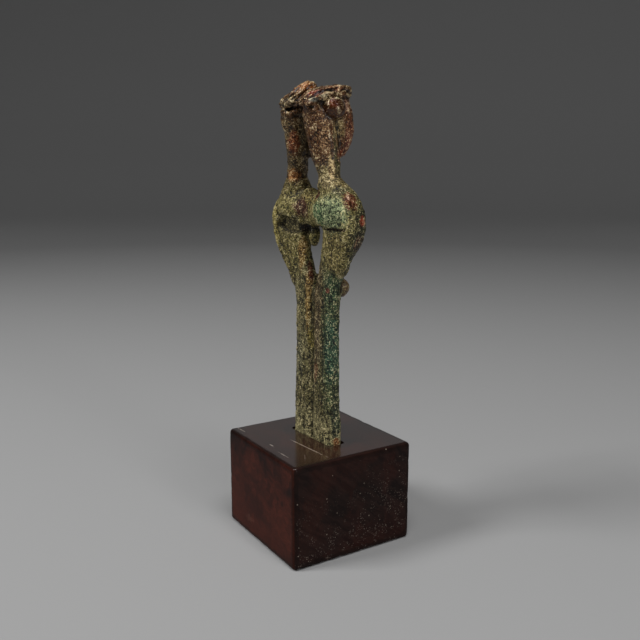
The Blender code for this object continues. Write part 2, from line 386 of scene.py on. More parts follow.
# %% Carving helpers
def distance_to_line(places, line):
    """How far each point is from a line of straight runs."""
    nearest = np.full(len(places), np.inf)
    for start, end in zip(line, line[1:]):
        start = np.array(start, float)
        run = np.array(end, float) - start
        along = np.clip((places - start) @ run / (run @ run), 0.0, 1.0)
        nearest = np.minimum(nearest, np.linalg.norm(places - start - along[:, None] * run, axis=1))
    return nearest


def mirrored(line):
    """The same line on the idol's other half."""
    return tuple((front, -side, height) for front, side, height in line)


def arc(centre, radius, start, stop, count=14):
    """A line round an eye in the plane of the head's side, in degrees from the front upwards."""
    front, side, height = centre
    turns = [math.radians(start + (stop - start) * step / count) for step in range(count + 1)]
    return tuple((front + radius * math.cos(turn), side, height + radius * math.sin(turn))
                 for turn in turns)


def noise_at(scale, offset):
    """One noise value at each point of the skin, for a scale on each axis in features per millimetre."""
    scaled = skin_places * scale + offset
    return np.array([noise.noise(Vector(spot)) for spot in scaled.tolist()])


SWAY = 0.55
SWAY_SCALE = (0.18, 0.18, 0.18)
UNSTEADY_SCALE = (0.3, 0.3, 0.3)

sway = SWAY * np.stack([noise_at(SWAY_SCALE, offset) for offset in (5.0, 31.0, 71.0)], axis=1)
unsteady = np.clip(1.0 + 1.1 * noise_at(UNSTEADY_SCALE, 90.0), 0.2, 1.6)
print("lines sway by up to", round(float(np.abs(sway).max()), 2), "mm")

# %% [markdown]
# ## Where the burin goes
# The lines follow what shows on the real figure: the recess under each cap, the socket round each
# eye, the fold between neck and jaw, the crease under the near buttock, the side ridge of the
# thigh, and the channels that part the two legs. Most are repeated, fainter, on the half that
# faces away. Hair is a band of grooves between a first and a last line. Each groove is laid on the
# skin before it is cut, because one that floats above a cap would cut nothing.

# %% Cut the lines
CUT_LINES = (  # depth, width, share on the other half, line on the near (-) or far (+) half
    (0.9, 0.6, 0.0, ((-6.6, -10.2, 123.2), (-5.6, -10.3, 122.9), (-4.8, -10.6, 122.0))),
    (0.45, 0.35, 0.0, ((-9.9, -8.2, 120.9), (-9.0, -8.8, 120.5), (-8.2, -9.0, 120.6))),
    (0.6, 0.5, 0.0, ((-8.6, 6.4, 120.9), (-7.7, 5.0, 120.7), (-6.9, 4.0, 120.6))),
    (1.2, 1.4, 0.0, ((-5.2, 15.4, 83.2), (-5.4, 12.8, 83.9), (-5.2, 10.0, 83.8), (-4.8, 8.0, 83.0))),
    (0.7, 0.4, 0.8, arc((-0.6, -11.2, 120.8), 4.5, 0, 360, 24)),
    (0.9, 0.55, 0.8, arc((-0.6, -11.2, 120.8), 4.7, 130, 300)),
    (1.1, 0.6, 0.8, ((-0.6, -11.9, 115.0), (-0.3, -12.0, 112.1), (-0.2, -12.2, 109.9),
        (0.0, -12.4, 107.8), (0.2, -12.5, 105.6), (0.5, -12.4, 103.4))),
    (-0.35, 0.6, 0.8, ((3.4, -11.8, 118.6), (3.4, -11.7, 115.4), (3.3, -11.6, 112.8),
        (3.4, -11.3, 110.1), (3.5, -10.7, 107.4), (3.3, -9.6, 105.0))),
    (-0.35, 0.55, 0.8, ((-5.4, -11.2, 115.7), (-3.7, -12.1, 107.7), (-2.8, -13.0, 101.5),
        (-2.6, -13.6, 98.6))),
    (-0.25, 0.5, 0.8, ((-9.1, -6.7, 116.5), (-8.3, -7.2, 112.0), (-7.6, -7.7, 108.0),
        (-6.9, -8.3, 104.6), (-6.1, -9.1, 101.3))),
    (0.6, 0.36, 0.0, ((-4.0, -9.9, 79.2), (-4.2, -12.2, 79.5), (-4.0, -14.6, 79.3), (-3.6, -17.0, 79.6),
        (-3.8, -19.4, 79.2), (-4.1, -21.4, 79.9), (-3.8, -23.2, 80.3))),
    (-0.4, 0.8, 0.6, ((-2.2, -20.9, 88.6), (-1.5, -22.3, 83.8), (-1.3, -22.8, 80.2),
        (-1.1, -22.5, 77.0), (-1.0, -21.0, 72.7), (-0.7, -18.8, 68.2), (-0.2, -16.0, 63.8))),
    (-0.4, 0.6, 0.0, ((-5.4, 19.2, 87.5), (-5.2, 20.0, 83.5), (-4.9, 20.3, 79.5), (-4.4, 19.4, 74.5),
        (-3.9, 17.6, 70.0), (-3.4, 15.2, 66.2), (-2.8, 13.0, 62.0))),
    (0.35, 0.45, 0.0, ((-1.7, 0.9, 57.5), (-1.8, 0.7, 50.0), (-1.8, 0.8, 43.4), (-1.8, 0.8, 36.8),
        (-1.8, 0.5, 30.2), (-1.9, 0.2, 23.6), (-2.4, -0.8, 16.0))),
    (-0.3, 0.9, 0.0, ((-2.2, 3.2, 62.0), (-2.3, 2.3, 54.0), (-2.4, 2.6, 44.0), (-2.5, 3.0, 34.0))),
    (0.35, 0.5, 0.0, ((-2.9, -7.3, 62.0), (-3.0, -7.4, 55.4), (-3.0, -7.7, 45.0), (-3.0, -7.4, 33.0),
        (-3.0, -7.1, 22.0))),
    (0.2, 0.6, 0.0, ((-3.1, -3.4, 38.0), (-3.1, -2.6, 28.0), (-3.1, -3.6, 15.0), (-3.2, -3.0, 4.0))),
    (0.2, 0.6, 0.0, ((-3.1, 7.0, 52.0), (-3.1, 8.0, 36.0), (-3.1, 7.0, 20.0), (-3.2, 7.8, 5.0))),
    (0.2, 0.4, 0.0, ((-3.1, 5.0, 30.0), (-3.1, 4.2, 18.0), (-3.1, 4.8, 2.0))),
    (0.45, 0.5, 0.0, ((1.9, 0.3, 57.0), (2.6, 0.1, 44.0), (2.8, 0.2, 24.0), (3.0, 0.0, 2.0))),
)


def cut(line, depth, width):
    """Moves the skin in along a line, or out where the depth is below zero."""
    push = depth * unsteady * np.exp(-(distance_to_line(skin_places + sway, line) / width) ** 2)
    skin_places[:] -= skin_directions * push[:, None]


for depth, width, other_half, line in CUT_LINES:
    cut(line, depth, width)
    if other_half:
        cut(mirrored(line), depth * other_half, width)
print("lines cut:", len(CUT_LINES))

# %% Comb the hair
STRAND_BANDS = (  # strands, share on the other half, first line, last line
    (3, 0.6, ((-8.8, -7.0, 125.4), (-6.2, -7.6, 126.8), (-3.2, -8.0, 127.9), (0.0, -8.4, 128.8),
        (3.4, -8.0, 129.3)),
     ((-10.2, -8.6, 123.4), (-7.4, -9.8, 124.2), (-3.8, -10.2, 125.2), (-1.0, -10.4, 125.8),
        (3.0, -10.3, 127.0))),
    (2, 0.6, ((-9.0, -3.0, 125.4), (-6.5, -3.4, 127.4), (-3.5, -4.0, 128.8), (0.0, -5.2, 129.6),
        (4.6, -5.6, 129.6)),
     ((-9.1, -5.4, 125.5), (-7.0, -5.8, 127.2), (-4.0, -6.4, 128.3), (-0.8, -7.1, 129.2),
        (4.4, -7.2, 129.5))),
    (2, 0.6, ((-2.6, -10.5, 124.6), (0.4, -10.5, 125.6), (2.6, -10.4, 126.5), (4.6, -10.2, 126.9),
        (6.6, -9.8, 126.4)),
     ((3.8, -9.0, 128.6), (5.6, -8.6, 128.4), (7.2, -8.4, 127.6), (8.3, -8.2, 126.6),
        (8.5, -8.2, 125.4))),
    (4, 0.0, ((-0.6, 1.0, 129.6), (-2.8, 1.2, 127.9), (-4.9, 1.4, 126.4), (-6.6, 1.6, 124.9),
        (-7.8, 2.2, 122.8)),
     ((-3.4, 5.9, 130.0), (-5.6, 6.7, 128.3), (-7.7, 7.2, 126.4), (-9.6, 7.4, 124.6),
        (-11.0, 7.2, 122.7))),
)
STRAND_DEPTH = 0.75
STRAND_WIDTH = 0.42
STRAND_STEPS = 2


def laid_on(line):
    """The same line with more places in it, each moved to the nearest point of the skin."""
    laid = []
    for start, end in zip(line, line[1:]):
        for step in range(STRAND_STEPS):
            spot = np.array(start) + (np.array(end) - np.array(start)) * step / STRAND_STEPS
            laid.append(tuple(skin_places[np.argmin(((skin_places - spot) ** 2).sum(axis=1))]))
    return tuple(laid)


for strands, other_half, first_line, last_line in STRAND_BANDS:
    for strand in range(strands + 1):
        share = strand / strands
        between = tuple(tuple(a + (b - a) * share for a, b in zip(*ends))
                        for ends in zip(first_line, last_line))
        cut(laid_on(between), STRAND_DEPTH, STRAND_WIDTH)
        if other_half:
            cut(laid_on(mirrored(between)), STRAND_DEPTH * other_half, STRAND_WIDTH)
print("bands of strands:", len(STRAND_BANDS))

# %% [markdown]
# ## Hollows and fills
# Some places need a broad push rather than a line: the back wall of the far hollow comes out, the
# saddle between the necks sinks, and the knees and caps take their lean outline. Each push is full
# at its centre and fades to nothing at its reach.

# %% Press the hollows
HOLLOWS = (  # centre, reach on each axis, move in millimetres
    ((-1.0, 12.4, 80.6), (2.8, 7.6, 3.2), (-1.7, 0.0, 0.0)),
    ((-3.2, 18.6, 82.2), (2.6, 2.4, 1.6), (-1.7, 0.0, -0.3)),
    ((-2.6, 5.8, 81.9), (2.6, 2.4, 1.4), (-1.7, 0.0, -0.3)),
    ((-2.0, 4.6, 78.6), (4.0, 3.0, 2.2), (1.8, 0.0, 0.0)),
    ((-2.2, -16.6, 79.4), (2.2, 4.2, 1.7), (-1.2, 0.0, 0.0)),
    ((-1.6, -23.2, 78.5), (2.4, 2.2, 13.0), (-0.35, -0.75, 0.0)),
    ((-8.4, -8.0, 121.0), (3.0, 3.0, 2.2), (-0.6, -1.5, 0.0)),
    ((-9.2, 8.0, 117.0), (4.2, 4.6, 3.9), (-0.8, 0.7, 0.0)),
    ((-10.8, 7.8, 121.6), (1.7, 3.0, 1.4), (0.8, -0.4, 0.3)),
    ((-8.4, 5.6, 119.4), (3.2, 3.4, 2.0), (-1.0, -0.5, 0.0)),
    ((-6.0, 3.0, 120.8), (3.2, 2.8, 2.2), (-1.9, -1.6, 0.2)),
    ((-9.6, 7.4, 121.0), (2.4, 3.4, 1.4), (-0.8, 0.3, 0.0)),
    ((-0.3, -10.4, 125.4), (5.0, 2.6, 1.4), (-0.3, -0.9, 0.1)),
    ((-1.5, 1.0, 96.4), (7.0, 4.8, 5.6), (0.0, 2.6, 0.0)),
    ((-1.5, -1.4, 93.8), (7.0, 5.4, 3.2), (0.0, 0.0, -2.0)),
    ((-1.0, 13.4, 59.4), (5.0, 3.0, 3.4), (-0.3, 0.9, 0.0)),
    ((1.6, -13.2, 59.4), (3.4, 4.0, 4.4), (-0.4, 1.0, 0.0)),
)


def press(centre, reach, move):
    """Moves the points of the skin near a place, fully at its centre and not at all at its reach."""
    away = (((skin_places - centre) / reach) ** 2).sum(axis=1)
    share = np.clip(1.0 - away, 0.0, 1.0) ** 0.7
    skin_places[:] += share[:, None] * np.array(move)


for centre, reach, move in HOLLOWS:
    press(centre, reach, move)
print("hollows pressed:", len(HOLLOWS))

# %% [markdown]
# ## The eyes
# Each eye is a ball in a socket with a small raised boss and a ring round it. The solid's ball has
# been blurred by the remesh, so its outer points are set back on one sphere. What lies between the
# sphere and the socket's edge is drawn in too, which cuts the socket, and the boss is then raised
# where the near eye shows it. Distances to the boss are measured on the sphere, so it stays round.

# %% Shape the eyes
EYE_CENTRE = np.array((-0.6, -10.8, 120.8))
EYE_RADIUS = 4.1
BOSS_PLACE = np.array((-2.3, -14.0, 122.7))
BOSS_RISE = 0.4
BOSS_WIDTH = 0.65
IRIS_RADIUS = 1.2
IRIS_DEPTH = 0.16
IRIS_WIDTH = 0.3
EYE_CORE = 3.0
SOCKET_START = 5.0
SOCKET_EDGE = 6.0

for side in (-1, 1):
    flip = np.array((1.0, -side, 1.0))
    from_centre = skin_places * flip - EYE_CENTRE
    reach = np.linalg.norm(from_centre, axis=1)
    outer = np.clip((-from_centre[:, 1] / reach + 0.35) / 0.2, 0.0, 1.0) * (reach > EYE_CORE)
    outer *= np.clip((SOCKET_EDGE - reach) / (SOCKET_EDGE - SOCKET_START), 0.0, 1.0)
    on_ball = EYE_CENTRE + from_centre * (EYE_RADIUS / np.maximum(reach, 1e-6))[:, None]
    to_boss = np.linalg.norm(on_ball - BOSS_PLACE, axis=1)
    wanted = (EYE_RADIUS + BOSS_RISE * np.exp(-(to_boss / BOSS_WIDTH) ** 4)
              - IRIS_DEPTH * np.exp(-((to_boss - IRIS_RADIUS) / IRIS_WIDTH) ** 2))
    share = 1 + outer * (wanted / np.maximum(reach, 1e-6) - 1)
    skin_places[:] = (EYE_CENTRE + from_centre * share[:, None]) * flip
print("eyes turned, radius", EYE_RADIUS, "mm")

# %% [markdown]
# ## The wear of the ground
# A buried bronze is never smooth: the casting is slightly uneven, corrosion has eaten pits, and the
# shaft keeps long ribs from its wax. Each of these is a noise of its own size, drawn with the same
# seedless formula at each point, so every run gives the same skin. The balls and the knee knobs
# stay calmer because hands have polished them.

# %% Weather the skin
CALM_SPOTS = ((EYE_CENTRE, 4.9, 0.75), (np.array((4.4, -7.7, 57.8)), 4.3, 0.8))  # centre, radius, calm
WAVE_HEIGHT = 0.22
LUMP_HEIGHT = 0.16
GRAIN_HEIGHT = 0.17
RIB_HEIGHT = 0.2
FOOT_RIB_HEIGHT = 0.1
PIT_DEPTH = 0.55
PIT_START = 0.28

unrest = np.ones(len(skin_places))
for centre, radius, calm in CALM_SPOTS:
    for flip in ((1, 1, 1), (1, -1, 1)):
        away = np.linalg.norm(skin_places * flip - centre, axis=1)
        unrest -= calm * np.clip((radius - away) / 0.6, 0.0, 1.0)
unrest = np.clip(unrest, 0.1, 1.0)

waves = noise_at((0.16, 0.16, 0.16), 3.0)
lumps = noise_at((0.55, 0.55, 0.45), 11.0)
grains = noise_at((1.15, 1.15, 1.0), 23.0)
ribs = noise_at((0.7, 0.6, 0.09), 41.0)
pits = noise_at((0.8, 0.8, 0.75), 57.0)
below_hips = np.clip((66 - skin_places[:, 2]) / 10, 0.0, 1.0)
near_foot = np.clip((16 - skin_places[:, 2]) / 10, 0.0, 1.0)
rise = (WAVE_HEIGHT * waves + unrest * (LUMP_HEIGHT * lumps + GRAIN_HEIGHT * grains)
        + below_hips * (RIB_HEIGHT + FOOT_RIB_HEIGHT * near_foot) * ribs
        - unrest * PIT_DEPTH * np.clip(pits - PIT_START, 0.0, 0.3))
skin_places += skin_directions * rise[:, None]
print("weathering from", round(float(rise.min()), 2), "to", round(float(rise.max()), 2), "mm")

# %% Put the skin back and thin it
SKIN_KEPT = 0.6

shared = skin_places @ np.array(IDOL_FRAME)[:3, :3].T + np.array(IDOL_FRAME)[:3, 3]
idol_low, idol_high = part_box("bronze_idol")
shared[:, 2] = np.clip(shared[:, 2], idol_low.z, idol_high.z)
idol_mesh.vertices.foreach_set("co", shared.ravel())
idol_mesh.update()
thin = idol.modifiers.new("fewer_faces", "DECIMATE")
thin.ratio = SKIN_KEPT
idol_mesh = settle(idol)
idol_mesh.name = "idol_body"
idol_mesh.shade_smooth()
print("idol:", len(idol_mesh.polygons), "triangles")

# %% [markdown]
# ## A map of hollows and high spots
# Dirt and pale crust settle by height: hollows stay dark, and rubbed ridges turn bright. The map
# compares each point with a smoothed copy of the skin and stores the difference as an attribute
# that the materials read. The block gets the same map for its worn edges.

# %% Relief attribute
def store_relief(mesh, rounds, full_scale):
    """Stores how far each point stands above the smoothed mesh, from -1 to 1 at the full scale."""
    places, directions = point_arrays(mesh)
    count = len(places)
    ends = np.empty(len(mesh.edges) * 2, dtype=np.int64)
    mesh.edges.foreach_get("vertices", ends)
    first, second = ends.reshape(-1, 2).T
    neighbours = np.bincount(first, minlength=count) + np.bincount(second, minlength=count)
    smooth = places.copy()
    for _ in range(rounds):
        total = np.stack([np.bincount(first, smooth[second, axis], count)
                          + np.bincount(second, smooth[first, axis], count) for axis in range(3)], axis=1)
        smooth = total / np.maximum(neighbours, 1)[:, None]
    relief = ((places - smooth) * directions).sum(axis=1) / full_scale
    layer = mesh.attributes.new("relief", "FLOAT", "POINT")
    layer.data.foreach_set("value", np.clip(relief, -1.0, 1.0))
    return relief


IDOL_RELIEF = 0.22 * MM
idol_relief = store_relief(idol_mesh, 12, IDOL_RELIEF)
print("idol relief spread:", round(float(idol_relief.std()), 2))

# %% [markdown]
# ## Shared effects
# Three effects serve both finishes, so each is a node group with named sockets: a noise drawn out
# along one axis (drips on the bronze, grain in the wood), wear on high spots, and a soft-edged patch
# at a place. A fourth, loose specks, serves the wood twice, as dust and in its pores. Groups only
# hand on masks and values, and the shaders stay outside.

# %% Group: drawn-out streaks
def vector_node(tree, operation, first, second):
    """One sum on two vectors."""
    return add(tree, "ShaderNodeVectorMath", {0: first, 1: second}, operation=operation).outputs[0]


streaks, takes, gives = new_group(
    "drawn_streaks", (("Place", "Vector"), ("Stretch", "Vector"), ("Wobble", "Float")),
    (("Streak", "Float"), ("Fine", "Float")))
bend = add(streaks, "ShaderNodeTexNoise", {"Vector": takes["Place"], "Scale": 0.12, "Detail": 2.0})
bent = vector_node(streaks, "ADD", takes["Place"],
                   vector_node(streaks, "MULTIPLY", bend.outputs["Color"], takes["Wobble"]))
drawn = vector_node(streaks, "MULTIPLY", bent, takes["Stretch"])
streaks.links.new(fit(streaks, cloud(streaks, drawn, 1.0, 3.0, 0.6), 0.35, 0.65), gives["Streak"])
streaks.links.new(fit(streaks, cloud(streaks, drawn, 4.0, 3.0, 0.6), 0.35, 0.65), gives["Fine"])
print("group:", streaks.name)

# %% Group: specks
specks, takes, gives = new_group(
    "loose_specks",
    (("Place", "Vector"), ("Per Millimetre", "Float"), ("Share", "Float"), ("Size", "Float")),
    (("Mask", "Float"), ("Shade", "Float")))
cells = add(specks, "ShaderNodeTexVoronoi", {"Vector": takes["Place"], "Scale": takes["Per Millimetre"]})
chance = add(specks, "ShaderNodeSeparateColor", {0: cells.outputs["Color"]})
own_size = times(specks, takes["Size"], math_node(specks, "ADD", 0.45, chance.outputs[1]))
near_centre = math_node(specks, "LESS_THAN", cells.outputs["Distance"], own_size)
picked = math_node(specks, "LESS_THAN", chance.outputs[0], takes["Share"])
specks.links.new(times(specks, near_centre, picked), gives["Mask"])
specks.links.new(chance.outputs[2], gives["Shade"])
print("group:", specks.name)

# %% Group: wear
wear, takes, gives = new_group(
    "worn_high_spots", (("Place", "Vector"), ("Relief", "Float"), ("Start", "Float"), ("Scale", "Float")),
    (("High", "Float"), ("Low", "Float")))
ragged = off_middle(wear, cloud(wear, takes["Place"], takes["Scale"], 3.0))
lifted = math_node(wear, "MULTIPLY_ADD", ragged, 0.9, takes["Relief"])
sunken = times(wear, lifted, -1.0)
stop = math_node(wear, "ADD", takes["Start"], 0.35)
wear.links.new(fit(wear, lifted, takes["Start"], stop), gives["High"])
wear.links.new(fit(wear, sunken, takes["Start"], stop), gives["Low"])
print("group:", wear.name)

# %% Group: patch
patch, takes, gives = new_group(
    "soft_patch", (("Place", "Vector"), ("Centre", "Vector"), ("Reach", "Vector"), ("Wander", "Float")),
    (("Mask", "Float"),))
offset = vector_node(patch, "SUBTRACT", takes["Place"], takes["Centre"])
shares = vector_node(patch, "DIVIDE", offset, takes["Reach"])
away = add(patch, "ShaderNodeVectorMath", {0: shares}, operation="LENGTH").outputs["Value"]
edge = math_node(patch, "ADD", away, takes["Wander"])
patch.links.new(fit(patch, edge, 1.3, 0.62), gives["Mask"])
print("group:", patch.name)

# %% Helpers for materials
def use(tree, group, **values):
    """Places a node group and fills its named inputs. Spaces in names are given as underscores."""
    inputs = {name.replace("_", " "): value for name, value in values.items()}
    return add(tree, "ShaderNodeGroup", inputs, node_tree=group).outputs


def start_material(name, lift=0.0, turn=0.0):
    """A new material, with places in millimetres from a height and a turn, and the stored relief."""
    material = bpy.data.materials.new(name)
    material.use_nodes = True
    tree = material.node_tree
    place = add(tree, "ShaderNodeMapping", {
        "Vector": add(tree, "ShaderNodeTexCoord").outputs["Object"], "Location": (0.0, 0.0, -lift),
        "Rotation": (0.0, 0.0, -turn), "Scale": (1 / MM, 1 / MM, 1 / MM)}).outputs[0]
    relief = add(tree, "ShaderNodeAttribute", attribute_name="relief").outputs["Fac"]
    return material, tree, tree.nodes["Principled BSDF"], place, relief


def stain(tree, tone, share, strength, colour):
    """Lays a screen colour over a tone where the share says, at no more than the strength."""
    return mix(tree, times(tree, share, strength), tone, plain_colour(*colour))


print("groups:", len(bpy.data.node_groups))
